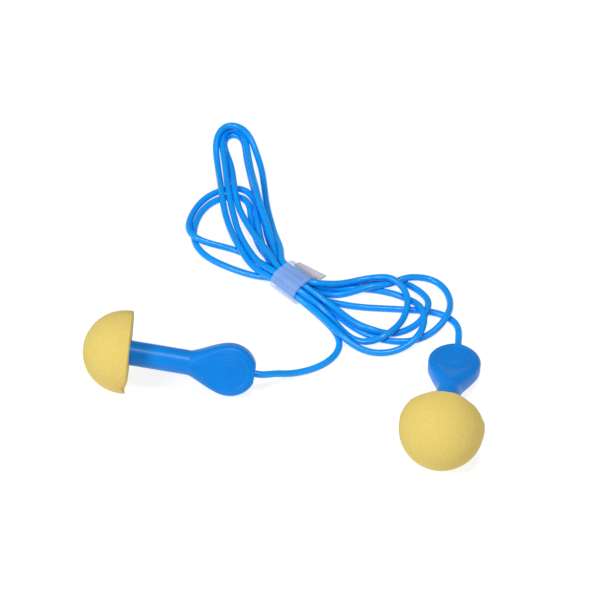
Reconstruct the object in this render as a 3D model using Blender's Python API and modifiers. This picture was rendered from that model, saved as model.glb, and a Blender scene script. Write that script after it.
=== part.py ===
"""Corded push-in ear plugs: two foam tips on moulded grips, joined by one thin cord.

The pair lies on a table at z = 0. Its cord is gathered in loops, and a short plastic sleeve holds them.
+X runs from the left plug to the right one, +Y from the plugs to the loops, and +Z is up. The origin is
on the table below the middle of the two plugs. Sizes are in millimetres; MM makes them Blender's metres.
"""

import math

import bmesh
import bpy
from mathutils import Matrix, Vector

MM = 0.001
GAP = 0.3  # clearance between pieces that touch on the real object

# One plug, measured along its axis from the cord's mouth (0) to the foam tip's apex
PLUG_LENGTH = 28.1
TIP_RADIUS = 6.75
TIP_DEPTH = 7.6
TIP_SKIRT = 0.8  # nearly straight wall behind the dome
TIP_EDGE_RADIUS = 0.3
STEM_RADIUS = 2.04
STEM_IN_TIP = 5.0
NECK_AT = 10.8  # where the stem starts to widen into the paddle
PADDLE_RADIUS = 4.3
PADDLE_THICKNESS = 3.1
PADDLE_EDGE_RADIUS = 0.5
PADDLE_END_FLAT = 1.5  # half the flat at the paddle's end, around the cord's mouth
SOCKET_DEPTH = 3.0
ROUND_SEGMENTS = 48
CORNER_STEPS = 6  # divisions of each rounded corner of a grip section

# Cord, and the loops that the sleeve holds
CORD_DIAMETER = 1.15
CORD_RADIUS = CORD_DIAMETER / 2
POINT_SPACING = 2.5 * CORD_DIAMETER
LOOPS_HEIGHT = 2.6
BUNDLE_WIDTH = 5.0
BUNDLE_HEIGHT = 3.1
SLEEVE_WALL = 0.3
SLEEVE_LENGTH = 5.4
SLEEVE_TRAVEL = 1.5  # the farthest that it slides along the bundle
FLAP_LENGTH = 1.5  # the sleeve's empty, pressed-flat side
BUNDLE_CENTRE = (1.8, 27.4)
BUNDLE_HEADING = -45.0  # degrees from +X, along the straight bundle
BUNDLE_HALF_LENGTH = SLEEVE_LENGTH / 2 + SLEEVE_TRAVEL + GAP
SLEEVE_OUTER_HEIGHT = BUNDLE_HEIGHT + 2 * GAP + 2 * SLEEVE_WALL
SLEEVE_MID_HEIGHT = SLEEVE_OUTER_HEIGHT / 2

# Where each plug lies: the cord's mouth, then the axis from it towards the foam tip, in degrees.
# The face angle turns the paddle about that axis; at 0 its broad face looks up.
PLUGS = {
    "left": {"mouth": (-4.58, 5.85, 3.745), "heading": 174.4, "rise": 8.13, "face": 58.7},
    "right": {"mouth": (28.71, 12.46, 1.52), "heading": -100.05, "rise": 14.02, "face": 0.0},
}
# Where the cord bends as its plug swings, and its free route from there to the loops.
SWING_POINTS = {"left": (-0.8, 6.9, 2.5), "right": (29.2, 16.6, 0.95)}
LEADS = {
    "left": [
        (-0.8, 6.9, 2.5),
        (1.0, 7.8, 1.6),
        (2.8, 8.7, 0.9),
        (5.0, 9.5, 0.6),
        (6.9, 10.7, 0.6),
        (8.3, 12.1, 0.6),
        (9.0, 13.2, 0.6),
    ],
    "right": [
        (29.2, 16.6, 0.95),
        (29.3, 17.9, 0.65),
        (29.1, 19.2, 0.6),
        (28.6, 20.1, 0.6),
    ],
}
# Outlines of the loops on each side of the bundle, anticlockwise from one corner of the bundle's
# end to the other, as (x, y).
LEFT_LOOPS = [
    (0.8, 36.1),
    (-0.8, 39.7),
    (-2.2, 45.6),
    (-3.0, 52.1),
    (-4.2, 59.1),
    (-6.3, 64.6),
    (-9.5, 66.5),
    (-12.1, 63.1),
    (-12.5, 58.1),
    (-12.1, 52.6),
    (-13.3, 49.4),
    (-16.1, 45.7),
    (-17.1, 41.3),
    (-16.2, 37.7),
    (-14.3, 34.2),
    (-11.1, 31.7),
    (-6.5, 29.4),
]
RIGHT_LOOPS = [
    (5.3, 20.4),
    (7.8, 17.0),
    (10.5, 14.0),
    (13.3, 12.1),
    (16.3, 11.6),
    (19.2, 12.3),
    (21.9, 14.2),
    (24.9, 16.2),
    (27.5, 19.4),
    (28.6, 23.3),
    (27.3, 27.7),
    (24.3, 29.7),
    (20.8, 29.4),
    (16.8, 29.7),
    (12.3, 29.0),
    (9.0, 28.1),
]

COLOURS = {
    "foam": ((0.80, 0.60, 0.16), 0.9),
    "grip": ((0.005, 0.20, 0.72), 0.4),
    "cord": ((0.0, 0.26, 0.88), 0.3),
    "sleeve": ((0.62, 0.66, 0.86), 0.35),
}


def clear_scene():
    """Remove everything that the scene starts with."""
    for obj in list(bpy.data.objects):
        bpy.data.objects.remove(obj)


def make_collection(name):
    """A new collection, linked to the scene."""
    collection = bpy.data.collections.new(name)
    bpy.context.scene.collection.children.link(collection)
    return collection


def make_material(name, colour_name):
    """A Principled material in one of the named colours."""
    colour, roughness = COLOURS[colour_name]
    material = bpy.data.materials.new(name)
    material.use_nodes = True
    shader = material.node_tree.nodes["Principled BSDF"]
    shader.inputs["Base Color"].default_value = (*colour, 1.0)
    shader.inputs["Roughness"].default_value = roughness
    shader.inputs["Metallic"].default_value = 0.0
    return material


def add_object(name, data, collection, colour_name=None, parent=None, matrix=None):
    """Link a new object; matrix is its place in the world."""
    obj = bpy.data.objects.new(name, data)
    collection.objects.link(obj)
    if colour_name:
        data.materials.append(make_material(name, colour_name))
    if parent:
        obj.parent = parent
        obj.matrix_parent_inverse = parent.matrix_world.inverted()
    obj.matrix_world = matrix or Matrix.Identity(4)
    return obj


def plug_matrix(place):
    """A plug's place: local +Z runs from the cord's mouth to the foam tip, +Y out of the broad face."""
    heading = math.radians(place["heading"])
    rise = math.radians(place["rise"])
    face_angle = math.radians(place["face"])
    axis = Vector(
        (math.cos(heading) * math.cos(rise), math.sin(heading) * math.cos(rise), math.sin(rise))
    )
    level = Vector((0, 0, 1)).cross(axis).normalized()
    face = axis.cross(level) * math.cos(face_angle) + level * math.sin(face_angle)
    across = face.cross(axis)
    matrix = Matrix((across, face, axis)).transposed().to_4x4()
    matrix.translation = Vector(place["mouth"]) * MM
    return matrix


def tip_profile():
    """Half section of the foam tip, as (radius, height), from the apex down the outside and up the bore."""
    base = PLUG_LENGTH - TIP_DEPTH
    dome_height = TIP_DEPTH - TIP_SKIRT
    bore_radius = STEM_RADIUS + GAP
    bore_top = base + STEM_IN_TIP + GAP
    dome_steps = 16
    profile = []
    for step in range(dome_steps + 1):
        angle = 0.5 * math.pi * step / dome_steps
        height = PLUG_LENGTH - dome_height * (1 - math.cos(angle))
        profile.append((TIP_RADIUS * math.sin(angle), height))
    edge_steps = 4
    for step in range(edge_steps + 1):
        angle = 0.5 * math.pi * step / edge_steps
        radius = TIP_RADIUS - TIP_EDGE_RADIUS * (1 - math.cos(angle))
        profile.append((radius, base + TIP_EDGE_RADIUS * (1 - math.sin(angle))))
    profile += [(bore_radius, base), (bore_radius, bore_top), (0.0, bore_top)]
    return profile


def make_foam_tip(name, place, pivot, collection):
    """The mushroom-shaped foam tip: a dome with a flat back and a blind bore for the stem."""
    profile = tip_profile()
    mesh = bpy.data.meshes.new(name)
    points = [(radius * MM, 0.0, height * MM) for radius, height in profile]
    edges = [(index, index + 1) for index in range(len(points) - 1)]
    mesh.from_pydata(points, edges, [])
    tip = add_object(name, mesh, collection, "foam", pivot, plug_matrix(place))
    screw = tip.modifiers.new("turn", "SCREW")
    screw.steps = ROUND_SEGMENTS
    screw.render_steps = ROUND_SEGMENTS
    screw.use_merge_vertices = True
    screw.merge_threshold = 0.00001
    screw.use_smooth_shade = True
    return tip


def grip_half_width(height):
    """Half the grip's width at a height along its axis: flat end, round paddle, flare, then the stem."""
    # The paddle's circle is cut off where it is as wide as the end flat.
    circle_height = math.sqrt(PADDLE_RADIUS**2 - PADDLE_END_FLAT**2)
    if height <= circle_height:
        return math.sqrt(PADDLE_RADIUS**2 - (circle_height - height) ** 2)
    if height >= NECK_AT:
        return STEM_RADIUS
    share = (NECK_AT - height) / (NECK_AT - circle_height)
    return STEM_RADIUS + (PADDLE_RADIUS - STEM_RADIUS) * math.sin(0.5 * math.pi * share) ** 1.4


def grip_half_thickness(height):
    """Half the grip's thickness: the stem flattens into the paddle's two parallel faces."""
    flat_below = 0.55 * NECK_AT
    share = min(1.0, max(0.0, (height - flat_below) / (NECK_AT - flat_below)))
    smooth = share * share * (3 - 2 * share)
    return PADDLE_THICKNESS / 2 + (STEM_RADIUS - PADDLE_THICKNESS / 2) * smooth


def grip_section(height):
    """Points of one cross section: a rectangle with round corners, which is a full circle on the stem."""
    half_width = grip_half_width(height)
    half_thickness = grip_half_thickness(height)
    share = min(1.0, max(0.0, (height - 0.4 * NECK_AT) / (0.6 * NECK_AT)))
    corner = PADDLE_EDGE_RADIUS + (STEM_RADIUS - PADDLE_EDGE_RADIUS) * share**1.5
    corner = min(corner, half_width, half_thickness)
    centres = ((1, 1, 0), (-1, 1, 90), (-1, -1, 180), (1, -1, 270))
    points = []
    for side_x, side_y, start in centres:
        for step in range(CORNER_STEPS + 1):
            angle = math.radians(start + 90 * step / CORNER_STEPS)
            x = side_x * (half_width - corner) + corner * math.cos(angle)
            y = side_y * (half_thickness - corner) + corner * math.sin(angle)
            points.append(Vector((x, y, height)) * MM)
    return points


def grip_heights():
    """Where the grip's sections lie: close together on the paddle's round end, wide apart on the stem."""
    end_steps = 9
    flare_steps = 10
    circle_height = math.sqrt(PADDLE_RADIUS**2 - PADDLE_END_FLAT**2)
    start = math.acos(PADDLE_END_FLAT / PADDLE_RADIUS)
    heights = []
    for step in range(end_steps):
        angle = start * (1 - step / end_steps)
        heights.append(circle_height - PADDLE_RADIUS * math.sin(angle))
    for step in range(flare_steps + 1):
        heights.append(circle_height + (NECK_AT - circle_height) * step / flare_steps)
    stem_end = PLUG_LENGTH - TIP_DEPTH + STEM_IN_TIP
    heights.append((NECK_AT + stem_end) / 2)
    heights.append(stem_end)
    return heights


def make_socket_cutter(name, matrix, parent, cutters):
    """The blind hole that the cord's end is held in, as a cutter."""
    shape = bmesh.new()
    bmesh.ops.create_cone(
        shape,
        cap_ends=True,
        segments=16,
        radius1=(CORD_RADIUS + GAP) * MM,
        radius2=(CORD_RADIUS + GAP) * MM,
        depth=2 * SOCKET_DEPTH * MM,
    )
    mesh = bpy.data.meshes.new(name)
    shape.to_mesh(mesh)
    shape.free()
    cutter = add_object(name, mesh, cutters, None, parent, matrix)
    cutter.display_type = "WIRE"
    cutter.hide_render = True
    return cutter


def make_grip(name, place, pivot, collection, cutters):
    """The moulded grip: a round stem that flattens into a paddle, with a socket for the cord."""
    shape = bmesh.new()
    rings = []
    for height in grip_heights():
        rings.append([shape.verts.new(point) for point in grip_section(height)])
    count = len(rings[0])
    for lower, upper in zip(rings[:-1], rings[1:]):
        for index in range(count):
            following = (index + 1) % count
            shape.faces.new((lower[index], lower[following], upper[following], upper[index]))
    shape.faces.new(list(reversed(rings[0])))
    shape.faces.new(rings[-1])
    bmesh.ops.remove_doubles(shape, verts=shape.verts, dist=0.000001)
    bmesh.ops.recalc_face_normals(shape, faces=shape.faces)
    mesh = bpy.data.meshes.new(name)
    shape.to_mesh(mesh)
    shape.free()
    mesh.shade_smooth()
    mesh.set_sharp_from_angle(angle=math.radians(40))
    matrix = plug_matrix(place)
    grip = add_object(name, mesh, collection, "grip", pivot, matrix)
    cut = grip.modifiers.new("cord_socket", "BOOLEAN")
    cut.operation = "DIFFERENCE"
    cut.object = make_socket_cutter(name + "_socket", matrix, pivot, cutters)
    return grip


def smooth_route(points):
    """Even points, POINT_SPACING apart, on a smooth curve (Catmull-Rom) through the route's points."""
    points = [Vector(point) for point in points]
    ends = [2 * points[0] - points[1], *points, 2 * points[-1] - points[-2]]
    fine = []
    steps = 24
    for before, start, end, after in zip(ends, ends[1:], ends[2:], ends[3:]):
        for step in range(steps):
            t = step / steps
            fine.append(
                0.5
                * (
                    2 * start
                    + (end - before) * t
                    + (2 * before - 5 * start + 4 * end - after) * t * t
                    + (3 * start - before - 3 * end + after) * t * t * t
                )
            )
    fine.append(points[-1])
    travelled = [0.0]
    for first, second in zip(fine, fine[1:]):
        travelled.append(travelled[-1] + (second - first).length)
    pieces = max(2, round(travelled[-1] / POINT_SPACING))
    even = []
    for piece in range(pieces + 1):
        wanted = travelled[-1] * piece / pieces
        index = next(i for i, value in enumerate(travelled) if value >= wanted - 1e-9)
        even.append(fine[index])
    return even


def make_cord_tube(name, points, collection, parent=None):
    """A plain tube of the cord's diameter along a route."""
    curve = bpy.data.curves.new(name, "CURVE")
    curve.dimensions = "3D"
    curve.bevel_depth = CORD_RADIUS * MM
    curve.bevel_resolution = 2
    curve.use_fill_caps = True
    spline = curve.splines.new("POLY")
    spline.points.add(len(points) - 1)
    for spline_point, point in zip(spline.points, points):
        spline_point.co = (*(point * MM), 1.0)
    spline.use_smooth = True
    return add_object(name, curve, collection, "cord", parent)


def shorten(points, start_cut, end_cut):
    """The same route with a length cut off each end."""
    start = points[0] + (points[1] - points[0]).normalized() * start_cut
    end = points[-1] + (points[-2] - points[-1]).normalized() * end_cut
    return [start, *points[1:-1], end]


def make_plug(side, collection, cutters):
    """One plug on its pivot: grip, foam tip and the stretch of cord that swings with it."""
    place = PLUGS[side]
    pivot = bpy.data.objects.new(side + "_swing", None)
    collection.objects.link(pivot)
    pivot.location = Vector(SWING_POINTS[side]) * MM
    bpy.context.view_layer.update()
    make_grip(side + "_grip", place, pivot, collection, cutters)
    make_foam_tip(side + "_foam_tip", place, pivot, collection)
    mouth = Vector(place["mouth"])
    axis = plug_matrix(place).to_3x3() @ Vector((0, 0, 1))
    inner_end = mouth + axis * (SOCKET_DEPTH - GAP)
    outside = mouth - axis * CORD_DIAMETER
    route = [inner_end, mouth, outside, Vector(SWING_POINTS[side])]
    make_cord_tube(side + "_cord_end", smooth_route(route), collection, pivot)


def make_lead(side, collection):
    """The cord's free stretch from the swing point to the loops."""
    route = shorten(smooth_route(LEADS[side]), GAP, 0.0)
    make_cord_tube(side + "_lead", route, collection)


def flat_outline(name, half_thickness, collection, colour_name, matrix):
    """An empty 2D curve, filled and extruded both ways by half_thickness."""
    curve = bpy.data.curves.new(name, "CURVE")
    curve.dimensions = "2D"
    curve.fill_mode = "BOTH"
    curve.extrude = half_thickness * MM
    curve.resolution_u = 4
    return add_object(name, curve, collection, colour_name, None, matrix)


def add_poly(curve, points):
    """Add a closed straight-sided outline."""
    spline = curve.splines.new("POLY")
    spline.points.add(len(points) - 1)
    for spline_point, (x, y) in zip(spline.points, points):
        spline_point.co = (x * MM, y * MM, 0.0, 1.0)
    spline.use_cyclic_u = True


def bundle_matrix():
    """The bundle's place: local +Z runs along it, +X across it and +Y up, from the table below its centre."""
    heading = math.radians(BUNDLE_HEADING)
    along = Vector((math.cos(heading), math.sin(heading), 0))
    up = Vector((0, 0, 1))
    across = up.cross(along)
    matrix = Matrix((across, up, along)).transposed().to_4x4()
    matrix.translation = Vector((*BUNDLE_CENTRE, 0)) * MM
    return matrix


def bundle_corner(side_along, side_across):
    """A corner of the straight bundle's end face, just past the gap, as (x, y)."""
    heading = math.radians(BUNDLE_HEADING)
    along = side_along * (BUNDLE_HALF_LENGTH + GAP)
    across = side_across * BUNDLE_WIDTH / 2
    x = BUNDLE_CENTRE[0] + along * math.cos(heading) - across * math.sin(heading)
    y = BUNDLE_CENTRE[1] + along * math.sin(heading) + across * math.cos(heading)
    return (x, y)


def make_loops(name, side_along, outline, collection):
    """One closed solid around the loops on one side of the sleeve."""
    place = Matrix.Translation((0, 0, LOOPS_HEIGHT / 2 * MM))
    loops = flat_outline(name, LOOPS_HEIGHT / 2, collection, "cord", place)
    first = bundle_corner(side_along, -side_along)
    last = bundle_corner(side_along, side_along)
    points = [first, *outline, last]
    spline = loops.data.splines.new("BEZIER")
    spline.bezier_points.add(len(points) - 1)
    for bezier_point, (x, y) in zip(spline.bezier_points, points):
        bezier_point.co = (x * MM, y * MM, 0.0)
        corner = (x, y) in (first, last)
        bezier_point.handle_left_type = "VECTOR" if corner else "AUTO"
        bezier_point.handle_right_type = "VECTOR" if corner else "AUTO"
    spline.use_cyclic_u = True
    return loops


def racetrack(width, height, centre_height, steps=10):
    """Points of an oval with straight top and bottom, anticlockwise, as (across, up)."""
    radius = height / 2
    offset = (width - height) / 2
    points = []
    for side, start in ((1, -90), (-1, 90)):
        for step in range(steps + 1):
            angle = math.radians(start + 180 * step / steps)
            x = side * offset + radius * math.cos(angle)
            points.append((x, centre_height + radius * math.sin(angle)))
    return points


def make_bundle(collection):
    """The ten strands that lie side by side through the sleeve, as one straight oval bar."""
    bar = flat_outline("cord_bundle", BUNDLE_HALF_LENGTH, collection, "cord", bundle_matrix())
    add_poly(bar.data, racetrack(BUNDLE_WIDTH, BUNDLE_HEIGHT, SLEEVE_MID_HEIGHT))


def make_sleeve(collection):
    """The oval plastic sleeve around the bundle, with its flat empty flap on the far side."""
    sleeve = flat_outline("bundle_sleeve", SLEEVE_LENGTH / 2, collection, "sleeve", bundle_matrix())
    inner_width = BUNDLE_WIDTH + 2 * GAP
    inner_height = BUNDLE_HEIGHT + 2 * GAP
    outer_width = inner_width + 2 * SLEEVE_WALL
    outer = racetrack(outer_width, SLEEVE_OUTER_HEIGHT, SLEEVE_MID_HEIGHT)
    flap_end = outer_width / 2 + FLAP_LENGTH
    flap = []
    for x, y in outer:
        if x > 0 and abs(y - SLEEVE_MID_HEIGHT) < 1e-6:
            flap.append((x, y - SLEEVE_WALL))
            flap.append((flap_end, y - SLEEVE_WALL))
            flap.append((flap_end, y + SLEEVE_WALL))
            flap.append((x, y + SLEEVE_WALL))
        else:
            flap.append((x, y))
    add_poly(sleeve.data, flap)
    add_poly(sleeve.data, racetrack(inner_width, inner_height, SLEEVE_MID_HEIGHT))


def main():
    """Build the whole pair."""
    clear_scene()
    parts = make_collection("foam_ear_plugs")
    cutters = make_collection("cutters")
    for side in ("left", "right"):
        make_plug(side, parts, cutters)
        make_lead(side, parts)
    make_loops("left_loops", -1, LEFT_LOOPS, parts)
    make_loops("right_loops", 1, RIGHT_LOOPS, parts)
    make_bundle(parts)
    make_sleeve(parts)
    bpy.context.view_layer.update()


main()
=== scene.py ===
"""Corded push-in ear plugs: the looks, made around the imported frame.

The plugs' foam tips, their moulded grips, the thin cord between them and the plastic sleeve that holds
its loops are made here at full detail. Sizes are in millimetres; MM makes them Blender's metres.
"""

import math

import bmesh
import bpy
import numpy as np
from mathutils import Matrix, Vector


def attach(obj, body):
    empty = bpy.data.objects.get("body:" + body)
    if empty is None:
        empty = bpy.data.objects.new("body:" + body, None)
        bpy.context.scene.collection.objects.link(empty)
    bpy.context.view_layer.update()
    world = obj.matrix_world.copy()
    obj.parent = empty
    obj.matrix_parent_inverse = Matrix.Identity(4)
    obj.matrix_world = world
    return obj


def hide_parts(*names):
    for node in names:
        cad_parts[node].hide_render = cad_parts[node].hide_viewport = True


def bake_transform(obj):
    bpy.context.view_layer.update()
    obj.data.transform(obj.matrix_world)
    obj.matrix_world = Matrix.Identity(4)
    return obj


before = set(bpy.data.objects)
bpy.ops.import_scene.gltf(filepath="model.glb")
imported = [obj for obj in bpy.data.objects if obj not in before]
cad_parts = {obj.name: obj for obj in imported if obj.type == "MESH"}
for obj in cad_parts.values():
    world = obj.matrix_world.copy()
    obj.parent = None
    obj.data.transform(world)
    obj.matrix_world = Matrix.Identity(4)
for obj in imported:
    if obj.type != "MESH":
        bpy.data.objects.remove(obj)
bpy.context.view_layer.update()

MM = 0.001

# ---------------------------------------------------------------------------------------------
# Camera, light and floor

CAMERA_AIM = (2.8, 25.3, 0.0)
CAMERA_ELEVATION = 48.0
CAMERA_DISTANCE = 405.6
LENS = 144.0
SENSOR = 36.0
FLOOR_HALF = 1200.0


def make_camera():
    """A long lens, looking along +Y and down on the table."""
    elevation = math.radians(CAMERA_ELEVATION)
    camera = bpy.data.cameras.new("camera")
    camera.lens = LENS
    camera.sensor_width = SENSOR
    camera.clip_start = 0.01
    camera.clip_end = 10.0
    obj = bpy.data.objects.new("camera", camera)
    back = Vector((0.0, -math.cos(elevation), math.sin(elevation)))
    obj.location = (Vector(CAMERA_AIM) + back * CAMERA_DISTANCE) * MM
    obj.rotation_euler = (math.radians(90.0) - elevation, 0.0, 0.0)
    bpy.context.scene.collection.objects.link(obj)
    bpy.context.scene.camera = obj


def add_light(name, place, size, watts):
    """A square soft box at a place in millimetres, turned to the middle of the object."""
    light = bpy.data.lights.new(name, "AREA")
    light.shape = "SQUARE"
    light.size = size * MM
    light.energy = watts
    obj = bpy.data.objects.new(name, light)
    obj.location = Vector(place) * MM
    obj.rotation_euler = (Vector(CAMERA_AIM) - Vector(place)).to_track_quat("-Z", "Y").to_euler()
    bpy.context.scene.collection.objects.link(obj)


def make_world(strength):
    """An even, pale surrounding."""
    world = bpy.data.worlds.new("studio")
    world.use_nodes = True
    background = world.node_tree.nodes["Background"]
    background.inputs["Color"].default_value = (1.0, 1.0, 1.0, 1.0)
    background.inputs["Strength"].default_value = strength
    bpy.context.scene.world = world


def make_floor():
    """The plain pale table top."""
    mesh = bpy.data.meshes.new("floor")
    corners = [(-1, -1), (1, -1), (1, 1), (-1, 1)]
    points = [(x * FLOOR_HALF * MM, y * FLOOR_HALF * MM, 0.0) for x, y in corners]
    mesh.from_pydata(points, [], [(0, 1, 2, 3)])
    floor = bpy.data.objects.new("floor", mesh)
    bpy.context.scene.collection.objects.link(floor)
    material = bpy.data.materials.new("floor")
    material.use_nodes = True
    shader = material.node_tree.nodes["Principled BSDF"]
    shader.inputs["Base Color"].default_value = (0.24, 0.24, 0.24, 1.0)
    shader.inputs["Roughness"].default_value = 0.8
    shader.inputs["Specular IOR Level"].default_value = 0.2
    shader.inputs["Emission Color"].default_value = (1.0, 1.0, 1.0, 1.0)
    shader.inputs["Emission Strength"].default_value = 0.84
    mesh.materials.append(material)


bpy.context.scene.view_settings.view_transform = "Standard"
make_camera()
make_world(0.24)
add_light("key", (-330.0, -260.0, 420.0), 170.0, 1.8)
add_light("fill", (360.0, -240.0, 260.0), 300.0, 0.15)
add_light("top", (55.0, -55.0, 560.0), 80.0, 1.35)
make_floor()

# ---------------------------------------------------------------------------------------------
# Cord: its route, drawn in millimetres as (x, y, height), from the left plug to the right

CORD_DIAMETER = 1.15
CORD_RADIUS = CORD_DIAMETER / 2
STEP = 0.6  # distance between the points that the cord is worked out at
SIGHT_LEAN = 0.9  # how far forward a strand goes for each mm that it settles above its drawn height

# How the drawn cord is settled
FOLD_RADIUS = 3.0  # drawn bends tighter than this mostly keep their shape
SPRING = 0.5  # the share of its drawn height above the table that the cord keeps before strands lift it
HELD_ENDS = 7.5  # length of cord that each plug holds
HELD_ACROSS = 2.6  # half the width of the stretch that the sleeve holds
HELD_WEIGHT = 1e5
ROUGH_BEND = 1.0
DRAWN_BEND = 1.6
YIELD_BEND = 2.0
FLOOR_GAP = 0.02
NEIGHBOUR_GAP = 2.4  # diameters along the cord within which its points aren't pushed apart
SEARCH_REACH = 1.5  # diameters within which strands are looked for
SEARCH_EVERY = 10  # rounds
STRAND_GAP = 1.01  # diameters between the middles of strands that touch
PUSH_SHARE = 0.9
STACKED_SLOPE = 0.3  # strands whose line of centres is steeper than this are pushed mostly up and down
STACKED_SIDEWAYS = 0.2
STACKED_UPWARDS = 1.3
EASING = 0.02  # the share of every shift that is let go in a round, so that the cord comes to rest
LATE_EASING = 0.003
LATE_FROM = 0.75  # the share of the rounds after which the late easing starts
SETTLE_ROUNDS = 500

# The sleeve around the ten strands
BUNDLE_CENTRE = np.array((1.8, 27.4))
BUNDLE_ALONG = np.array((math.sqrt(0.5), -math.sqrt(0.5)))
BUNDLE_ACROSS = np.array((math.sqrt(0.5), math.sqrt(0.5)))
SLEEVE_HALF = 2.7
SLIDE_ROOM = 1.5  # how far the sleeve slides towards the left loops, where the strands stay straight
ROW_HEIGHTS = (1.02, 2.08, 3.1)
STRAND_PITCH = 1.3
STRAIGHT_SHARE = 0.9  # of the sleeve's half length, on which the drawn strands are straight

SOCKET_DEPTH = 2.6  # length of cord inside a plug
STRAIGHT_EXIT = 1.0  # length of cord that leaves a plug straight
PLUG_MOUTHS = {"left": (-4.58, 5.85, 3.745), "right": (28.71, 12.46, 1.52)}
# Each plug's heading and rise, and how far its broad face is turned about its axis, in degrees
PLUG_HEADINGS = {"left": (174.4, 8.13, 58.7), "right": (-100.05, 14.02, 0.0)}

# The first seven points of the left lead and the last four of the right lead are the CAD tubes' points.
LEFT_LEAD = [
    (-0.8, 6.9, 2.5), (1.0, 7.8, 1.6), (2.8, 8.7, 0.9), (5.0, 9.5, 0.6), (6.9, 10.7, 0.6),
    (8.3, 12.1, 0.6), (9.0, 13.2, 0.6), (9.4, 14.4, 0.6), (9.4, 15.9, 0.6), (8.8, 17.6, 0.6),
    (7.4, 19.5, 0.6), (5.9, 21.4, 0.6), (4.3, 23.2, 0.8),
]
LOW_INNER = [
    (-4.0, 29.8, 0.6), (-7.4, 31.3, 0.6), (-10.8, 33.1, 0.6), (-13.7, 35.3, 0.6), (-15.4, 38.3, 0.6),
    (-15.5, 41.3, 0.6), (-14.6, 44.9, 0.6), (-12.9, 47.4, 0.6), (-10.3, 48.9, 0.6), (-7.9, 49.2, 0.6),
    (-6.3, 48.1, 0.6), (-5.5, 45.7, 0.6), (-5.1, 42.1, 0.6), (-4.7, 38.9, 0.6), (-3.6, 35.7, 0.7),
    (-1.9, 33.1, 0.9),
]
RIGHT_FOURTH = [
    (6.1, 27.1, 0.8), (8.3, 27.8, 0.6), (11.3, 28.3, 0.6), (14.7, 29.0, 0.6), (17.5, 29.3, 0.6),
    (19.9, 28.9, 0.6), (22.1, 27.6, 0.6), (23.6, 25.9, 0.6), (24.3, 23.9, 1.2), (24.2, 22.1, 1.75),
    (23.5, 20.5, 1.2), (22.3, 19.3, 0.7), (20.7, 18.1, 0.6), (18.7, 17.3, 0.6), (16.7, 17.2, 0.6),
    (14.6, 17.8, 0.6), (12.6, 18.9, 0.6), (10.9, 20.3, 0.6), (9.3, 22.0, 0.8), (7.5, 23.5, 1.4),
    (5.5, 24.7, 2.3),
]
TALL_THIRD = [
    (-1.8, 32.9, 3.1), (-3.6, 35.0, 3.0), (-5.0, 37.7, 2.9), (-6.3, 41.0, 2.4), (-7.5, 44.0, 2.0),
    (-8.5, 47.9, 1.75), (-8.9, 51.0, 1.6), (-9.3, 55.3, 0.8), (-9.9, 58.4, 0.6), (-10.6, 60.9, 0.6),
    (-11.0, 62.7, 0.6), (-10.5, 64.2, 0.6), (-9.1, 64.9, 0.6), (-7.7, 64.2, 0.6), (-7.1, 62.5, 0.6),
    (-7.1, 60.4, 0.6), (-6.7, 58.4, 0.6), (-6.2, 55.7, 0.6), (-5.6, 51.9, 1.2), (-5.1, 48.5, 1.75),
    (-4.2, 44.9, 1.6), (-3.5, 42.2, 1.4), (-2.9, 39.0, 1.5), (-2.2, 36.3, 1.5), (-0.9, 34.0, 1.7),
]
RIGHT_THIRD = [
    (6.5, 27.0, 1.75), (8.5, 27.0, 1.0), (10.7, 27.2, 0.6), (12.9, 27.3, 0.6), (14.6, 27.1, 0.6),
    (16.3, 26.8, 0.6), (18.0, 26.3, 0.6), (19.6, 25.7, 0.6), (20.9, 24.9, 0.7), (21.9, 23.8, 1.3),
    (22.8, 22.0, 2.0), (23.5, 20.2, 2.4), (23.6, 19.1, 2.0), (23.3, 17.8, 1.7), (22.7, 16.4, 1.75),
    (21.9, 15.2, 1.6), (20.8, 14.6, 1.0), (19.6, 14.1, 0.6), (18.1, 13.3, 0.6), (16.6, 13.0, 0.6),
    (15.2, 13.0, 0.6), (13.7, 13.4, 0.6), (12.2, 14.3, 0.7), (10.9, 15.0, 1.2), (9.6, 15.9, 1.75),
    (8.3, 17.5, 1.75), (7.0, 19.3, 1.75), (5.5, 21.1, 1.9), (4.2, 22.7, 2.1),
]
TALL_OUTER = [
    (-4.4, 30.2, 2.2), (-6.0, 32.4, 2.3), (-7.1, 34.8, 2.3), (-8.3, 37.0, 2.3), (-9.2, 40.4, 1.6),
    (-10.0, 43.5, 1.1), (-10.6, 46.4, 1.6), (-10.9, 49.1, 1.75), (-11.3, 52.4, 1.2), (-11.7, 56.4, 0.6),
    (-11.8, 59.4, 0.8), (-11.7, 61.9, 1.8), (-11.2, 63.8, 2.7), (-9.7, 65.2, 2.9), (-7.9, 64.4, 2.6),
    (-6.3, 62.3, 1.8), (-5.1, 59.7, 0.9), (-4.5, 58.2, 0.6), (-3.8, 54.4, 0.6), (-3.4, 50.7, 0.6),
    (-3.0, 46.7, 0.8), (-2.6, 44.1, 1.0), (-2.0, 40.5, 1.6), (-1.4, 37.2, 2.2), (-0.5, 34.1, 2.8),
]
RIGHT_INNER = [
    (5.5, 26.9, 2.9), (6.9, 26.8, 2.5), (9.6, 27.2, 1.9), (11.3, 27.9, 1.75), (13.0, 28.4, 1.75),
    (14.7, 28.8, 1.75), (16.4, 28.6, 2.0), (18.1, 27.8, 2.6), (19.4, 26.8, 2.9), (20.4, 25.7, 2.4),
    (20.9, 24.4, 1.75), (20.9, 22.8, 1.75), (20.5, 21.4, 1.4), (19.8, 19.6, 1.4), (18.8, 17.6, 1.75),
    (17.6, 16.4, 1.75), (16.4, 15.5, 1.75), (15.1, 15.2, 1.2), (13.7, 15.2, 0.7), (12.4, 15.6, 0.6),
    (11.1, 16.4, 0.6), (9.9, 17.6, 0.6), (9.0, 18.9, 0.6), (8.0, 20.3, 0.8), (6.8, 21.7, 1.4),
    (5.2, 22.9, 2.3),
]
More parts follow.
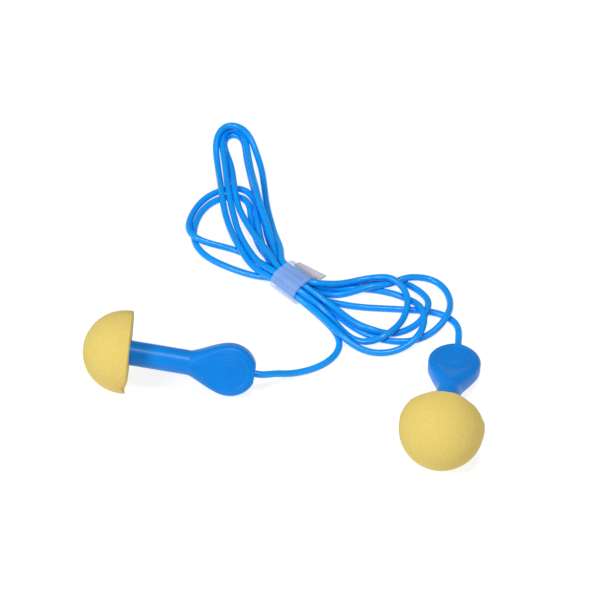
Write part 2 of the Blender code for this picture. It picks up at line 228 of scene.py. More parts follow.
TALL_SECOND = [
    (-3.3, 30.2, 3.0), (-4.7, 32.2, 2.8), (-5.9, 34.2, 2.6), (-6.8, 36.3, 2.4), (-7.9, 40.1, 1.6),
    (-8.7, 43.9, 1.2), (-9.4, 47.9, 1.75), (-9.9, 51.5, 1.6), (-10.3, 56.2, 0.8), (-10.6, 59.3, 0.9),
    (-11.2, 61.5, 1.5), (-11.1, 63.5, 1.75), (-10.2, 64.9, 1.75), (-8.9, 65.1, 1.75), (-7.6, 64.2, 1.75),
    (-7.0, 62.7, 1.75), (-6.8, 60.5, 1.6), (-6.3, 57.5, 1.6), (-5.9, 54.7, 1.75), (-5.2, 51.0, 2.2),
    (-4.7, 47.8, 2.8), (-4.1, 45.0, 2.7), (-3.4, 42.6, 2.5), (-2.7, 39.8, 2.5), (-2.0, 37.1, 2.6),
    (-1.1, 34.3, 2.7),
]
RIGHT_SECOND = [
    (5.7, 25.9, 1.5), (7.7, 26.2, 0.8), (9.5, 26.3, 0.6), (11.3, 26.4, 0.9), (13.5, 26.5, 1.75),
    (15.8, 26.9, 1.75), (18.0, 27.5, 1.75), (19.9, 28.3, 1.75), (21.6, 29.3, 1.2), (23.3, 29.8, 0.6),
    (25.0, 29.6, 0.6), (26.6, 28.4, 0.6), (27.6, 26.7, 0.6), (28.0, 24.7, 0.6), (27.9, 22.7, 1.0),
    (27.4, 20.4, 1.75), (26.4, 18.9, 1.2), (25.2, 17.8, 0.7), (24.0, 16.9, 0.6), (22.7, 16.1, 0.6),
    (21.3, 15.6, 0.6), (20.0, 15.4, 0.6), (18.7, 15.5, 0.6), (17.4, 15.8, 0.6), (15.2, 16.8, 0.6),
    (13.6, 17.6, 0.6), (12.0, 18.6, 0.6), (10.5, 19.8, 0.6), (9.2, 21.1, 0.7), (7.5, 22.6, 1.1),
    (5.5, 23.9, 1.7),
]
LOW_OUTER = [
    (-3.1, 31.7, 2.0), (-4.9, 33.3, 1.6), (-7.5, 35.4, 1.2), (-10.6, 36.9, 0.9), (-13.3, 37.5, 1.4),
    (-15.2, 38.0, 1.75), (-16.1, 39.7, 1.5), (-16.4, 42.1, 0.9), (-16.0, 44.5, 0.6), (-15.0, 47.0, 0.6),
    (-13.3, 49.2, 0.6), (-10.9, 50.7, 0.6), (-8.3, 51.3, 0.6), (-6.4, 50.5, 0.6), (-5.3, 48.3, 0.8),
    (-4.7, 45.5, 1.4), (-4.5, 42.3, 1.7), (-4.2, 38.9, 1.75), (-3.5, 35.7, 1.7), (-2.1, 32.5, 1.4),
]
RIGHT_LEAD = [
    (5.0, 25.1, 0.8), (6.7, 24.6, 0.6), (9.2, 23.9, 0.6), (11.7, 23.3, 0.6), (14.4, 23.0, 0.6),
    (17.6, 22.8, 0.6), (20.6, 22.5, 0.6), (23.4, 22.3, 0.6), (25.6, 21.8, 0.6), (27.4, 20.9, 0.6),
    (28.6, 20.1, 0.6), (29.1, 19.2, 0.6), (29.3, 17.9, 0.65), (29.2, 16.6, 0.95),
]
# Each stretch in order of travel, with the place in the sleeve that the cord goes through after it,
# as (row from the bottom, strand pitches towards the far side), and which way it goes along.
TO_RIGHT, TO_LEFT = 1, -1
TRAVEL = [
    (LEFT_LEAD, (0, -1), TO_LEFT),
    (LOW_INNER, (0, 1), TO_RIGHT),
    (RIGHT_FOURTH, (2, 0), TO_LEFT),
    (TALL_THIRD, (1, 1.5), TO_RIGHT),
    (RIGHT_THIRD, (1, -1.5), TO_LEFT),
    (TALL_OUTER, (2, 1), TO_RIGHT),
    (RIGHT_INNER, (2, -1), TO_LEFT),
    (TALL_SECOND, (1, 0.5), TO_RIGHT),
    (RIGHT_SECOND, (1, -0.5), TO_LEFT),
    (LOW_OUTER, (0, 0), TO_RIGHT),
]


def plug_axis(side):
    """A plug's direction from the cord's mouth to its foam tip."""
    heading, rise = [math.radians(angle) for angle in PLUG_HEADINGS[side][:2]]
    flat = math.cos(rise)
    return np.array((flat * math.cos(heading), flat * math.sin(heading), math.sin(rise)))


def plug_end(side):
    """The cord's last points: inside the plug's socket, at its mouth and just outside."""
    mouth = np.array(PLUG_MOUTHS[side])
    axis = plug_axis(side)
    return [mouth + SOCKET_DEPTH * axis, mouth, mouth - STRAIGHT_EXIT * axis]


def through_sleeve(row, place, way):
    """Points along the sleeve for one of its strands."""
    points = []
    straight = STRAIGHT_SHARE * SLEEVE_HALF
    for along in (-straight - SLIDE_ROOM, 0.0, straight)[::way]:
        flat = BUNDLE_CENTRE + BUNDLE_ALONG * along + BUNDLE_ACROSS * place * STRAND_PITCH
        points.append((*flat, ROW_HEIGHTS[row]))
    return points


def whole_route():
    """Every point of the route from one plug to the other."""
    points = plug_end("left")
    for stretch, (row, place), way in TRAVEL:
        points += stretch + through_sleeve(row, place, way)
    return np.array(points + RIGHT_LEAD + plug_end("right")[::-1])


def evenly(points, spacing):
    """The same line with points at an even distance."""
    lengths = np.linalg.norm(np.diff(points, axis=0), axis=1)
    travelled = np.concatenate(([0.0], np.cumsum(lengths)))
    wanted = np.linspace(0.0, travelled[-1], int(round(travelled[-1] / spacing)) + 1)
    return np.stack([np.interp(wanted, travelled, points[:, axis]) for axis in range(3)], axis=1)


def smooth_curve(points, steps=12):
    """A Catmull-Rom curve through the points, spaced by the square root of their distances."""
    padded = np.vstack((2 * points[0] - points[1], points, 2 * points[-1] - points[-2]))
    gaps = np.sqrt(np.linalg.norm(np.diff(padded, axis=0), axis=1))
    curve = []
    for index in range(1, len(padded) - 2):
        p0, p1, p2, p3 = padded[index - 1 : index + 3]
        g0, g1, g2 = gaps[index - 1 : index + 2]
        start_slope = ((p1 - p0) / g0 - (p2 - p0) / (g0 + g1) + (p2 - p1) / g1) * g1
        end_slope = ((p2 - p1) / g1 - (p3 - p1) / (g1 + g2) + (p3 - p2) / g2) * g1
        for step in range(steps):
            t = step / steps
            curve.append(
                (2 * t**3 - 3 * t**2 + 1) * p1
                + (t**3 - 2 * t**2 + t) * start_slope
                + (3 * t**2 - 2 * t**3) * p2
                + (t**3 - t**2) * end_slope
            )
    curve.append(padded[-2])
    return np.array(curve)


def stiffness_filter(weight, bend_length):
    """A matrix that evens a line out over bend_length, as a springy cord would; a heavy point stays put.

    The line's points are balanced between their weights and the cord's resistance to bending. Each point
    is tied to two neighbours on either side, so the balance is solved by elimination along the line.
    """
    count = len(weight)
    stiff = (bend_length / STEP) ** 4
    own = weight.copy()
    own[:-2] += stiff
    own[1:-1] += 4 * stiff
    own[2:] += stiff
    next_tie = np.zeros(count)
    next_tie[:-2] -= 2 * stiff
    next_tie[1:-1] -= 2 * stiff
    far_tie = np.zeros(count)
    far_tie[:-2] = stiff
    rows = np.diag(weight)
    for i in range(count):
        if i > 1:
            rows[i] -= far_tie[i - 2] * rows[i - 2]
            own[i] -= own[i - 2] * far_tie[i - 2] ** 2
        if i > 0:
            rows[i] -= next_tie[i - 1] * rows[i - 1]
            own[i] -= own[i - 1] * next_tie[i - 1] ** 2
            next_tie[i] -= own[i - 1] * next_tie[i - 1] * far_tie[i - 1]
        next_tie[i] /= own[i]
        far_tie[i] /= own[i]
    rows /= own[:, None]
    for i in range(count - 2, -1, -1):
        rows[i] -= next_tie[i] * rows[i + 1]
        if i < count - 2:
            rows[i] -= far_tie[i] * rows[i + 2]
    return rows


def fold_weight(line, held):
    """Weights that keep the drawn line where it folds tightly, and hold it in the sleeve and the plugs."""
    before, after = line[1:-1] - line[:-2], line[2:] - line[1:-1]
    turn = np.linalg.norm(np.cross(before, after), axis=1) / STEP**3
    weight = np.ones(len(line))
    weight[1:-1] += (FOLD_RADIUS * turn) ** 4
    weight[held] = HELD_WEIGHT
    return weight


def settle(drawn):
    """Let the drawn cord come to rest: it sinks towards the table, and its strands push each other apart."""
    count = len(drawn)
    along = (drawn[:, :2] - BUNDLE_CENTRE) @ BUNDLE_ALONG
    across = (drawn[:, :2] - BUNDLE_CENTRE) @ BUNDLE_ACROSS
    held = (along > -SLEEVE_HALF - SLIDE_ROOM) & (along < SLEEVE_HALF)
    held &= np.abs(across) < HELD_ACROSS
    ends = int(HELD_ENDS / STEP)
    held[:ends] = True
    held[-ends:] = True
    free = ~held
    held_weight = np.where(held, HELD_WEIGHT, 1.0)
    rough = stiffness_filter(held_weight, ROUGH_BEND) @ drawn
    tidy = stiffness_filter(fold_weight(rough, held), DRAWN_BEND)
    yielding = stiffness_filter(held_weight, YIELD_BEND)
    floor = CORD_RADIUS + FLOOR_GAP
    home = drawn.copy()
    home[free, 2] = floor + SPRING * (drawn[free, 2] - floor)
    home = tidy @ home
    shift = np.zeros((count, 3))
    shift[:, 2] = drawn[:, 2] - home[:, 2]
    first, second = np.triu_indices(count, int(NEIGHBOUR_GAP * CORD_DIAMETER / STEP))
    cord = drawn.copy()
    for turn in range(SETTLE_ROUNDS):
        easing = EASING if turn < SETTLE_ROUNDS * LATE_FROM else LATE_EASING
        lean = np.zeros(count)
        lean[free] = -SIGHT_LEAN * (cord[free, 2] - drawn[free, 2])
        moved = yielding @ shift
        cord = home + moved
        cord[:, 1] += yielding @ lean
        if turn % SEARCH_EVERY == 0:
            apart = np.linalg.norm(cord[first] - cord[second], axis=1)
            near = apart < SEARCH_REACH * CORD_DIAMETER
            ones, others = first[near], second[near]
        between = cord[ones] - cord[others]
        apart = np.maximum(np.linalg.norm(between, axis=1), 1e-6)
        overlap = np.maximum(CORD_DIAMETER * STRAND_GAP - apart, 0.0)
        push = between * (overlap / apart)[:, None]
        stacked = np.abs(between[:, 2]) > STACKED_SLOPE * apart
        push[stacked, :2] *= STACKED_SIDEWAYS
        push[stacked, 2] *= STACKED_UPWARDS
        total = np.zeros((count, 3))
        touches = np.zeros(count)
        share = np.where(free[ones] & free[others], 0.5, 1.0)[:, None]
        np.add.at(total, ones, push * share)
        np.add.at(total, others, -push * share)
        np.add.at(touches, ones, overlap > 0)
        np.add.at(touches, others, overlap > 0)
        shift[free] += PUSH_SHARE * (total / np.maximum(touches, 1.0)[:, None])[free]
        shift[free] *= 1.0 - easing
        below = free & (cord[:, 2] < floor)
        shift[below, 2] += 0.5 * (floor - cord[below, 2])
    return cord


# ---------------------------------------------------------------------------------------------
# Materials


def new_material(name, **settings):
    """A Principled material; settings are its socket names, with _ for a space, and their values."""
    material = bpy.data.materials.new(name)
    material.use_nodes = True
    shader = material.node_tree.nodes["Principled BSDF"]
    for socket, value in settings.items():
        shader.inputs[socket.replace("_", " ")].default_value = value
    return material, shader


def add_node(material, kind, **settings):
    """A node in the material, with its sockets or properties set."""
    node = material.node_tree.nodes.new(kind)
    for name, value in settings.items():
        label = name.replace("_", " ")
        if label in node.inputs:
            node.inputs[label].default_value = value
        else:
            setattr(node, name, value)
    return node


def link(material, source, output, target, socket):
    """Join two nodes."""
    material.node_tree.links.new(source.outputs[output], target.inputs[socket])


def mottled(material, shader, first, second, scale, detail=3.0, low=0.35, high=0.65):
    """Let the base colour wander between two colours over patches; scale is patches per metre."""
    place = add_node(material, "ShaderNodeTexCoord")
    noise = add_node(material, "ShaderNodeTexNoise", Scale=scale, Detail=detail, Roughness=0.55)
    ramp = add_node(material, "ShaderNodeValToRGB")
    ramp.color_ramp.elements[0].position = low
    ramp.color_ramp.elements[0].color = (*first, 1.0)
    ramp.color_ramp.elements[1].position = high
    ramp.color_ramp.elements[1].color = (*second, 1.0)
    link(material, place, "Object", noise, "Vector")
    link(material, noise, "Fac", ramp, "Fac")
    link(material, ramp, "Color", shader, "Base Color")
    return place


def roughness_patches(material, shader, place, scale, low, high):
    """Let the roughness wander between two values."""
    noise = add_node(material, "ShaderNodeTexNoise", Scale=scale, Detail=2.0)
    spread = add_node(material, "ShaderNodeMapRange", To_Min=low, To_Max=high)
    link(material, place, "Object", noise, "Vector")
    link(material, noise, "Fac", spread, "Value")
    link(material, spread, "Result", shader, "Roughness")


def grain(material, shader, place, scales, strength, depth):
    """Fine bumps from noise at two scales, depth in millimetres."""
    coarse = add_node(material, "ShaderNodeTexNoise", Scale=scales[0], Detail=3.0, Roughness=0.6)
    fine = add_node(material, "ShaderNodeTexNoise", Scale=scales[1], Detail=1.0)
    both = add_node(material, "ShaderNodeMath", operation="ADD")
    bump = add_node(material, "ShaderNodeBump", Strength=strength, Distance=depth * MM)
    link(material, place, "Object", coarse, "Vector")
    link(material, place, "Object", fine, "Vector")
    link(material, coarse, "Fac", both, 0)
    link(material, fine, "Fac", both, 1)
    link(material, both, "Value", bump, "Height")
    link(material, bump, "Normal", shader, "Normal")


def make_cord_material():
    """Soft, slightly glossy blue plastic."""
    material, shader = new_material("cord_blue", Specular_IOR_Level=0.38, IOR=1.46)
    place = mottled(material, shader, (0.0, 0.285, 0.84), (0.0, 0.315, 0.90), 160.0)
    roughness_patches(material, shader, place, 700.0, 0.22, 0.32)
    grain(material, shader, place, (900.0, 4200.0), 0.25, 0.02)
    return material


def make_grip_material():
    """Moulded blue plastic with a satin surface."""
    material, shader = new_material("grip_blue", Specular_IOR_Level=0.25, IOR=1.47)
    place = mottled(material, shader, (0.0, 0.20, 0.69), (0.0, 0.22, 0.74), 130.0)
    roughness_patches(material, shader, place, 500.0, 0.28, 0.42)
    grain(material, shader, place, (1400.0, 5200.0), 0.3, 0.03)
    return material


def make_foam_material():
    """Matt polyurethane foam: a fine, closed skin with small pores and slightly uneven colour."""
    material, shader = new_material(
        "foam_yellow",
        Specular_IOR_Level=0.15,
        Sheen_Weight=0.06,
        Sheen_Roughness=0.6,
        Roughness=0.92,
    )
    place = mottled(material, shader, (0.70, 0.525, 0.132), (0.76, 0.585, 0.165), 2600.0, 5.0, 0.3, 0.7)
    pores = add_node(material, "ShaderNodeTexVoronoi", Scale=3400.0, Randomness=1.0)
    soft = add_node(material, "ShaderNodeTexNoise", Scale=2600.0, Detail=4.0, Roughness=0.7)
    both = add_node(material, "ShaderNodeMath", operation="ADD")
    bump = add_node(material, "ShaderNodeBump", Strength=0.6, Distance=0.06 * MM)
    link(material, place, "Object", pores, "Vector")
    link(material, place, "Object", soft, "Vector")
    link(material, pores, "Distance", both, 0)
    link(material, soft, "Fac", both, 1)
    link(material, both, "Value", bump, "Height")
    link(material, bump, "Normal", shader, "Normal")
    return material


def make_sleeve_painted_bounce_material():
    """Thin milky plastic film that lets the cord's blue through, with painted blue in its base colour for
    the cord's light scattered in the film.
    """
    material, shader = new_material("sleeve_milky_painted_bounce", Specular_IOR_Level=0.15, Alpha=0.3)
    place = mottled(material, shader, (0.42, 0.60, 0.92), (0.48, 0.67, 0.97), 500.0, 4.0)
    roughness_patches(material, shader, place, 900.0, 0.45, 0.6)
    grain(material, shader, place, (600.0, 2400.0), 0.15, 0.02)
    return material


def make_flap_material():
    """Two layers of the same film pressed together: less clear than around the cord, and grey, as the film
    has no painted blue for the cord's light here.
    """
    material, shader = new_material("flap_milky", Specular_IOR_Level=0.15, Alpha=0.7)
    place = mottled(material, shader, (0.64, 0.59, 0.71), (0.70, 0.65, 0.76), 800.0, 4.0)
    roughness_patches(material, shader, place, 900.0, 0.45, 0.6)
    grain(material, shader, place, (600.0, 2400.0), 0.15, 0.02)
    return material


cord_material = make_cord_material()
grip_material = make_grip_material()
foam_material = make_foam_material()
sleeve_painted_bounce_material = make_sleeve_painted_bounce_material()
flap_material = make_flap_material()

# ---------------------------------------------------------------------------------------------
# Meshes and pieces


def add_piece(name, mesh, material):
    """Link a new piece of the object and give it its finish."""
    mesh.materials.append(material)
    obj = bpy.data.objects.new(name, mesh)
    bpy.context.scene.collection.objects.link(obj)
    return obj


def skin_rings(rings):
    """A closed mesh through rings of points, all with the same count."""
    shape = bmesh.new()
    rows = [[shape.verts.new(point) for point in ring] for ring in rings]
    count = len(rows[0])
    for lower, upper in zip(rows, rows[1:]):
        for index in range(count):
            following = (index + 1) % count
            shape.faces.new((lower[index], lower[following], upper[following], upper[index]))
    shape.faces.new(rows[0][::-1])
    shape.faces.new(rows[-1])
    bmesh.ops.recalc_face_normals(shape, faces=shape.faces)
    return shape


def finish_mesh(name, shape, sharp_degrees):
    """Turn a bmesh into a smooth-shaded mesh with its true corners kept sharp."""
    mesh = bpy.data.meshes.new(name)
    shape.to_mesh(mesh)
    shape.free()
    mesh.shade_smooth()
    mesh.set_sharp_from_angle(angle=math.radians(sharp_degrees))
    return mesh


# ---------------------------------------------------------------------------------------------
# Cord: the tubes made from its settled line

CORD_SIDES = 16


def tube_mesh(name, line, radius):
    """A round tube along a line of points in millimetres."""
    heading = np.gradient(line, axis=0)
    heading /= np.linalg.norm(heading, axis=1)[:, None]
    side = np.cross(heading[0], (0.0, 0.0, 1.0))
    rings = []
    for centre, forward in zip(line, heading):
        side = side - forward * side.dot(forward)
        side /= np.linalg.norm(side)
        other = np.cross(forward, side)
        ring = []
        for step in range(CORD_SIDES):
            angle = 2.0 * math.pi * step / CORD_SIDES
            outward = math.cos(angle) * side + math.sin(angle) * other
            ring.append(Vector((centre + radius * outward) * MM))
        rings.append(ring)
    return finish_mesh(name, skin_rings(rings), 60.0)


def make_half_cord(side, line, replaced):
    """Half of the cord, from its plug to the middle of the sleeve."""
    fine = smooth_curve(line, 2)
    name = side + "_half_cord"
    piece = add_piece(name, tube_mesh(name, fine, CORD_RADIUS), cord_material)
    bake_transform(piece)
    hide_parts(*replaced)


cord_line = settle(evenly(smooth_curve(whole_route()), STEP))
# The seam is hidden in the sleeve, on the strand that the tall outer loop starts from.
SEAM_ROW, SEAM_PLACE = 1, 1.5  # that strand's row, and pitches from the middle towards the near side
seam_place = (*(BUNDLE_CENTRE - SEAM_PLACE * STRAND_PITCH * BUNDLE_ACROSS), ROW_HEIGHTS[SEAM_ROW])
seam = int(np.argmin(np.linalg.norm(cord_line - np.array(seam_place), axis=1)))
make_half_cord("left", cord_line[: seam + 1], ["left_cord_end", "left_lead", "left_loops", "cord_bundle"])
make_half_cord("right", cord_line[seam:][::-1], ["right_cord_end", "right_lead", "right_loops"])

# ---------------------------------------------------------------------------------------------
# Plugs: sizes along the axis, from the cord's mouth (0) to the foam tip's apex

PLUG_LENGTH = 28.1
TIP_RADIUS = 6.75
TIP_DEPTH = 7.6
TIP_SKIRT = 0.8
TIP_EDGE_RADIUS = 0.3
TIP_TILT = {"left": 3.6, "right": 0.0}  # degrees that the foam sits askew on its stem
TILT_AXIS = (0.0, -0.67, 0.74)
TIP_LIFT = 0.07  # keeps the tilted rim on the table
NOTCH_DEPTH = 0.65  # a small tear in the left tip's rim
NOTCH_AT = 17.0  # degrees round the tip
NOTCH_REACH = 5.85  # from the tip's axis
NOTCH_WIDTH = 0.6
STEM_RADIUS = 2.04
STEM_IN_TIP = 5.0
NECK_AT = 10.8
PADDLE_RADIUS = 4.3
PADDLE_THICKNESS = 3.1
PADDLE_EDGE_RADIUS = 0.85
PADDLE_END_FLAT = 1.5
SOCKET_RADIUS = 0.66
SOCKET_BOTTOM = 2.8
BORE_CLEARANCE = 0.05  # between the stem and the foam
BORE_FLARE = 0.35  # how much wider the bore is at its bottom
APEX_RADIUS = 0.02  # of the small flat disc that closes the dome
TIP_SEGMENTS = 144
WOBBLES = ((0.05, 5, 1.0), (0.04, 11, 0.0), (0.025, 23, 2.0))  # size, waves round the rim, phase
WORN_BAND = TIP_SKIRT * 2.5  # height above the rim where its unevenness dies out
CIRCLE_HEIGHT = math.sqrt(PADDLE_RADIUS**2 - PADDLE_END_FLAT**2)


def plug_matrix(side):
    """A plug's place: local +Z runs from the cord's mouth to the foam tip, +Y out of the broad face."""
    axis = Vector(plug_axis(side))
    face_angle = math.radians(PLUG_HEADINGS[side][2])
    level = Vector((0, 0, 1)).cross(axis).normalized()
    face = axis.cross(level) * math.cos(face_angle) + level * math.sin(face_angle)
    matrix = Matrix((face.cross(axis), face, axis)).transposed().to_4x4()
    matrix.translation = Vector(PLUG_MOUTHS[side]) * MM
    return matrix


def tip_outline():
    """Half section of the foam tip, as (radius, height), from the apex down the outside and up the bore."""
    base = PLUG_LENGTH - TIP_DEPTH
    dome_height = TIP_DEPTH - TIP_SKIRT
    outline = []
    for step in range(1, 49):
        angle = 0.5 * math.pi * step / 48
        outline.append((TIP_RADIUS * math.sin(angle), PLUG_LENGTH - dome_height * (1 - math.cos(angle))))
    for step in range(1, 4):
        outline.append((TIP_RADIUS, base + TIP_SKIRT - (TIP_SKIRT - TIP_EDGE_RADIUS) * step / 4))
    for step in range(7):
        angle = 0.5 * math.pi * step / 6
        radius = TIP_RADIUS - TIP_EDGE_RADIUS * (1 - math.cos(angle))
        outline.append((radius, base + TIP_EDGE_RADIUS * (1 - math.sin(angle))))
    bore = STEM_RADIUS + BORE_CLEARANCE
    for step in range(1, 13):
        share = step / 12
        radius = TIP_RADIUS - TIP_EDGE_RADIUS + (bore - TIP_RADIUS + TIP_EDGE_RADIUS) * share
        outline.append((radius, base))
    outline.append((bore, base + 0.5))
    outline.append((bore + BORE_FLARE, base + STEM_IN_TIP + 0.1))
    return outline


def rim_wear(side, angle, radius, height):
    """How the rim differs from a true circle: how far outwards, and towards the apex where it is torn."""
    above_rim = height - (PLUG_LENGTH - TIP_DEPTH)
    near_rim = max(0.0, 1.0 - above_rim / WORN_BAND) * (radius / TIP_RADIUS) ** 6
    outwards = sum(size * math.sin(waves * angle + phase) for size, waves, phase in WOBBLES)
    inwards = 0.0
    if side == "left":
        reach = radius * math.cos(angle - math.radians(NOTCH_AT))
        inwards = NOTCH_DEPTH * math.exp(-(((reach - NOTCH_REACH) / NOTCH_WIDTH) ** 2))
    return outwards * near_rim, inwards * near_rim


def make_foam_tip(side):
    """The mushroom-shaped foam tip, with its bore for the grip's stem."""
    rings = []
    apex = (APEX_RADIUS, PLUG_LENGTH)
    for radius, height in [apex, *tip_outline()]:
        ring = []
        for step in range(TIP_SEGMENTS):
            angle = 2.0 * math.pi * step / TIP_SEGMENTS
            outwards, inwards = rim_wear(side, angle, radius, height)
            far = radius + outwards
            ring.append(Vector((far * math.cos(angle), far * math.sin(angle), height + inwards)) * MM)
        rings.append(ring)
    name = side + "_foam_plug"
    mesh = finish_mesh(name, skin_rings(rings), 50.0)
    matrix = plug_matrix(side)
    mesh.transform(matrix)
    rim_centre = matrix @ Vector((0.0, 0.0, (PLUG_LENGTH - TIP_DEPTH) * MM))
    tilt = Matrix.Rotation(math.radians(TIP_TILT[side]), 4, Vector(TILT_AXIS))
    lift = Vector((0.0, 0.0, TIP_LIFT * MM)) if TIP_TILT[side] else Vector()
    mesh.transform(Matrix.Translation(rim_centre + lift) @ tilt @ Matrix.Translation(-rim_centre))
    piece = add_piece(name, mesh, foam_material)
    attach(piece, side + "_plug")
    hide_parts(side + "_foam_tip")


def grip_half_width(height):
    """Half the grip's width at a height along its axis: flat end, round paddle, flare, then the stem."""
    if height <= CIRCLE_HEIGHT:
        return math.sqrt(PADDLE_RADIUS**2 - (CIRCLE_HEIGHT - height) ** 2)
    if height >= NECK_AT:
        return STEM_RADIUS
    share = (NECK_AT - height) / (NECK_AT - CIRCLE_HEIGHT)
    return STEM_RADIUS + (PADDLE_RADIUS - STEM_RADIUS) * math.sin(0.5 * math.pi * share) ** 1.4


def grip_half_thickness(height):
    """Half the grip's thickness: the stem flattens into the paddle's two parallel faces."""
    flat_below = 0.55 * NECK_AT
    share = min(1.0, max(0.0, (height - flat_below) / (NECK_AT - flat_below)))
    smooth = share * share * (3 - 2 * share)
    return PADDLE_THICKNESS / 2 + (STEM_RADIUS - PADDLE_THICKNESS / 2) * smooth


RING_RADII = (1.45, 2.05)
RING_HEIGHT = 0.09
RING_SOFTNESS = 0.12
BEADS = ((0.12, 1.15, 0.25), (0.07, 1.8, 0.1))  # height, distance from the edge and softness
BEADS_FADE_FROM = 9.0  # height along the grip where the beads start to fade
BEADS_FADE_OVER = 3.0


def face_relief(x, height):
    """How far the broad face is raised at a point: two beads inside its edge and two low rings."""
    half_width = grip_half_width(height)
    relief = 0.0
    from_centre = math.hypot(x, height - CIRCLE_HEIGHT)
    for ring_radius in RING_RADII:
        relief += RING_HEIGHT * math.exp(-(((from_centre - ring_radius) / RING_SOFTNESS) ** 2))
    from_edge = half_width - abs(x) if height > CIRCLE_HEIGHT else PADDLE_RADIUS - from_centre
    fade = 1.0 - min(1.0, max(0.0, (height - BEADS_FADE_FROM) / BEADS_FADE_OVER))
    for bead_height, bead_place, softness in BEADS:
        relief += bead_height * fade * math.exp(-(((from_edge - bead_place) / softness) ** 2))
    return relief


FACE_POINTS = 60
CORNER_POINTS = 7
WALL_POINTS = 6


def grip_section(height):
    """Points of one cross section: a rectangle with round corners, which is a full circle on the stem."""
    half_width = grip_half_width(height)
    half_thickness = grip_half_thickness(height)
    share = min(1.0, max(0.0, (height - 0.4 * NECK_AT) / (0.6 * NECK_AT)))
    corner = PADDLE_EDGE_RADIUS + (STEM_RADIUS - PADDLE_EDGE_RADIUS) * share**1.5
    corner = min(corner, half_width, half_thickness)
    flat_x = half_width - corner
    flat_y = half_thickness - corner
    points = []
    corners = ((1, 1, 0), (-1, 1, 90), (-1, -1, 180), (1, -1, 270))
    for index, (side_x, side_y, start) in enumerate(corners):
        for step in range(CORNER_POINTS):
            angle = math.radians(start + 90 * step / (CORNER_POINTS - 1))
            x = side_x * flat_x + corner * math.cos(angle)
            y = side_y * flat_y + corner * math.sin(angle)
            points.append((x, y))
        if index % 2 == 0:
            for step in range(1, FACE_POINTS):
                x = side_x * flat_x * (1 - 2 * step / FACE_POINTS)
                points.append((x, side_y * (half_thickness + face_relief(x, height))))
        else:
            for step in range(1, WALL_POINTS):
                y = side_y * flat_y * (1 - 2 * step / WALL_POINTS)
                points.append((side_x * half_width, y))
    return [Vector((x, y, height)) * MM for x, y in points]


PADDLE_SECTIONS = 30
NECK_SECTIONS = 60
STEM_SECTIONS = 10
PAST_NECK = 3.0  # how far up the stem the sections still lie close together


def grip_heights():
    """Where the grip's sections lie: close together on the paddle, wide apart on the stem."""
    start = math.acos(PADDLE_END_FLAT / PADDLE_RADIUS)
    heights = []
    for step in range(PADDLE_SECTIONS):
        heights.append(CIRCLE_HEIGHT - PADDLE_RADIUS * math.sin(start * (1 - step / PADDLE_SECTIONS)))
    for step in range(NECK_SECTIONS):
        heights.append(CIRCLE_HEIGHT + (NECK_AT + PAST_NECK - CIRCLE_HEIGHT) * step / NECK_SECTIONS)
    stem_end = PLUG_LENGTH - TIP_DEPTH + STEM_IN_TIP
    for step in range(STEM_SECTIONS + 1):
        heights.append(NECK_AT + PAST_NECK + (stem_end - NECK_AT - PAST_NECK) * step / STEM_SECTIONS)
    return heights


def make_grip(side):
    """The moulded grip, from the socket for the cord to the end of the stem."""
    rings = [grip_section(height) for height in grip_heights()]
    socket = []
    for point in rings[0]:
        outward = Vector((point.x, point.y, 0)).normalized() * SOCKET_RADIUS * MM
        socket.append(outward + Vector((0, 0, point.z)))
    deep = [point + Vector((0, 0, SOCKET_BOTTOM * MM)) for point in socket]
    name = side + "_moulded_grip"
    mesh = finish_mesh(name, skin_rings([deep, socket, *rings]), 35.0)
    mesh.transform(plug_matrix(side))
    piece = add_piece(name, mesh, grip_material)
    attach(piece, side + "_plug")
    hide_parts(side + "_grip")


for plug_side in ("left", "right"):
    make_foam_tip(plug_side)
    make_grip(plug_side)

# ---------------------------------------------------------------------------------------------
# Sleeve

SLEEVE_WALL = 0.3
SLEEVE_WIDTH = 5.4  # inside
SLEEVE_HEIGHT = 3.7  # inside
SLEEVE_MID_HEIGHT = SLEEVE_HEIGHT / 2 + SLEEVE_WALL
FLAP_NARROW = 1.1  # the flap's length out from the oval, at the sleeve's left end
FLAP_WIDE = 2.1  # and at its right end
FLAP_HALF_THICKNESS = 0.17
FLAP_DROOP = 0.2  # how far its tip hangs down
SLEEVE_SECTIONS = 24
OVAL_POINTS = 84
BARE_POINTS = 12  # of the oval, on each side of the flap's root, with no strand behind them
FLAP_POINTS = 9


def sleeve_oval(width, height):
    """An oval, straight at the top and bottom, as (across, up), from the far side round to it again."""
    radius = height / 2
    offset = (width - height) / 2
    opening = math.asin(FLAP_HALF_THICKNESS / radius)
    points = []
    for step in range(OVAL_POINTS):
        angle = opening + (2 * math.pi - 2 * opening) * step / (OVAL_POINTS - 1)
        straight = offset * min(1.0, max(-1.0, 4.0 * math.cos(angle)))
        points.append((straight + radius * math.cos(angle), radius * math.sin(angle)))
    return points


def flap_edge(root, length, side):
    """Points of the flap's lower (-1) or upper (1) side, from its root out to its tip."""
    points = []
    for step in range(1, FLAP_POINTS + 1):
        share = step / FLAP_POINTS
        half = FLAP_HALF_THICKNESS * math.sqrt(max(0.0, 1.0 - share**6))
        points.append((root + length * share, side * half - FLAP_DROOP * share**2))
    return points


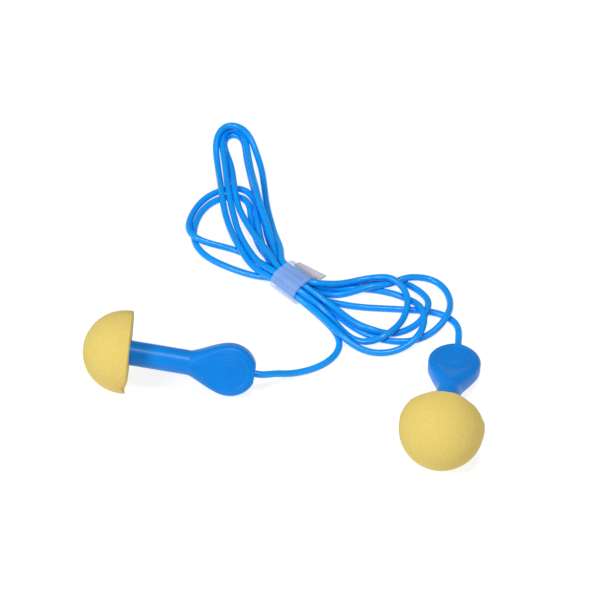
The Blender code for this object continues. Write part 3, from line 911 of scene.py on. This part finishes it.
def sleeve_section(along, outer):
    """One closed outline of the sleeve, as (across, height); outside it has the flat, empty flap."""
    wall = SLEEVE_WALL if outer else 0.0
    share = 0.5 + 0.5 * along / SLEEVE_HALF
    points = sleeve_oval(SLEEVE_WIDTH + 2 * wall, SLEEVE_HEIGHT + 2 * wall)
    root = points[0][0]
    length = FLAP_NARROW + (FLAP_WIDE - FLAP_NARROW) * share if outer else 0.0
    lower = flap_edge(root, length, -1) if outer else []
    upper = flap_edge(root, length, 1)[:-1] if outer else []
    return [(across, up + SLEEVE_MID_HEIGHT) for across, up in points + lower + upper[::-1]]


def place_in_sleeve(along, section):
    """The world points of one outline."""
    ring = []
    for across, up in section:
        flat = BUNDLE_CENTRE + BUNDLE_ALONG * along + BUNDLE_ACROSS * across
        ring.append(Vector((flat[0], flat[1], up)) * MM)
    return ring


def make_sleeve():
    """The plastic sleeve: an oval tube of film around the strands, pressed flat where it is empty."""
    shape = bmesh.new()
    outer_rows, inner_rows = [], []
    for step in range(SLEEVE_SECTIONS + 1):
        along = SLEEVE_HALF * (2 * step / SLEEVE_SECTIONS - 1)
        outer_ring = place_in_sleeve(along, sleeve_section(along, True))
        inner_ring = place_in_sleeve(along, sleeve_section(along, False))
        outer_rows.append([shape.verts.new(point) for point in outer_ring])
        inner_rows.append([shape.verts.new(point) for point in inner_ring])
    for rows in (outer_rows, inner_rows):
        count = len(rows[0])
        for lower, upper in zip(rows, rows[1:]):
            for index in range(count):
                following = (index + 1) % count
                face = shape.faces.new((lower[index], lower[following], upper[following], upper[index]))
                # Faces with no strand behind them take the grey film, without the painted blue that stands
                # in for the cord's light.
                bare = index < BARE_POINTS or index >= OVAL_POINTS - 1 - BARE_POINTS
                face.material_index = 1 if bare else 0
    for outer, inner in ((outer_rows[0], inner_rows[0]), (outer_rows[-1], inner_rows[-1])):
        for index in range(OVAL_POINTS - 1):
            shape.faces.new((outer[index], outer[index + 1], inner[index + 1], inner[index]))
        flap_end = outer[OVAL_POINTS - 1 :] + [outer[0], inner[0], inner[OVAL_POINTS - 1]]
        face = shape.faces.new(flap_end)
        face.material_index = 1
    bmesh.ops.recalc_face_normals(shape, faces=shape.faces)
    piece = add_piece("cord_sleeve", finish_mesh("cord_sleeve", shape, 40.0), sleeve_painted_bounce_material)
    piece.data.materials.append(flap_material)
    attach(piece, "sleeve")
    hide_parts("bundle_sleeve")


make_sleeve()
